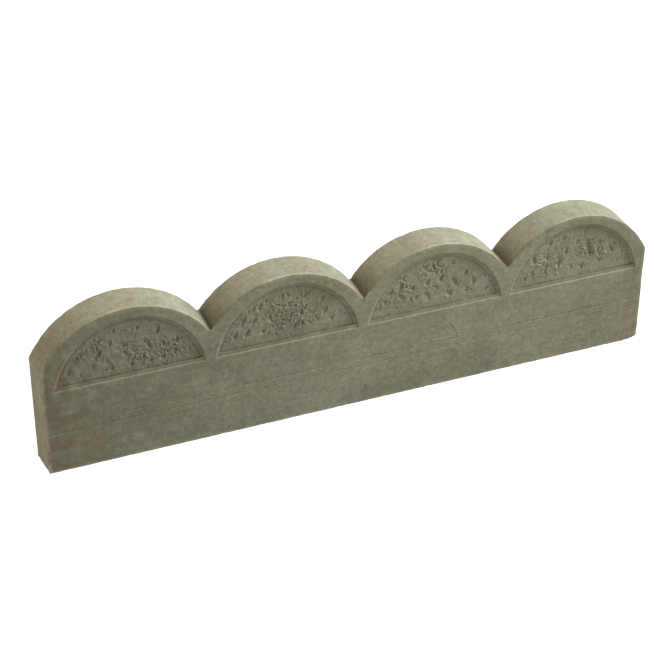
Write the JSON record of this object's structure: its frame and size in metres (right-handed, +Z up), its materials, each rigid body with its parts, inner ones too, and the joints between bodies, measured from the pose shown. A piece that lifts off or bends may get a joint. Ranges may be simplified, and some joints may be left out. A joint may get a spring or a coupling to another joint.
{
  "type": "scalloped lawn edging stone",
  "caption": "Cast concrete lawn edging stone with a scalloped top, a sunk half-round panel in each scallop, two fine grooves along its front and a flat foot to stand on.",
  "frame": {"origin": "middle of the flat foot, half-way along the stone and half-way through its thickness", "axes": "+X along the stone's length, -Y out of the decorated front face, +Z up towards the scallops"},
  "size_m": [0.6, 0.032, 0.15],
  "materials": {
    "cast_concrete": "matt, cast against a mould"
  },
  "bodies": {
    "root": {"edging_stone": "cast_concrete"}
  },
  "joints": []
}
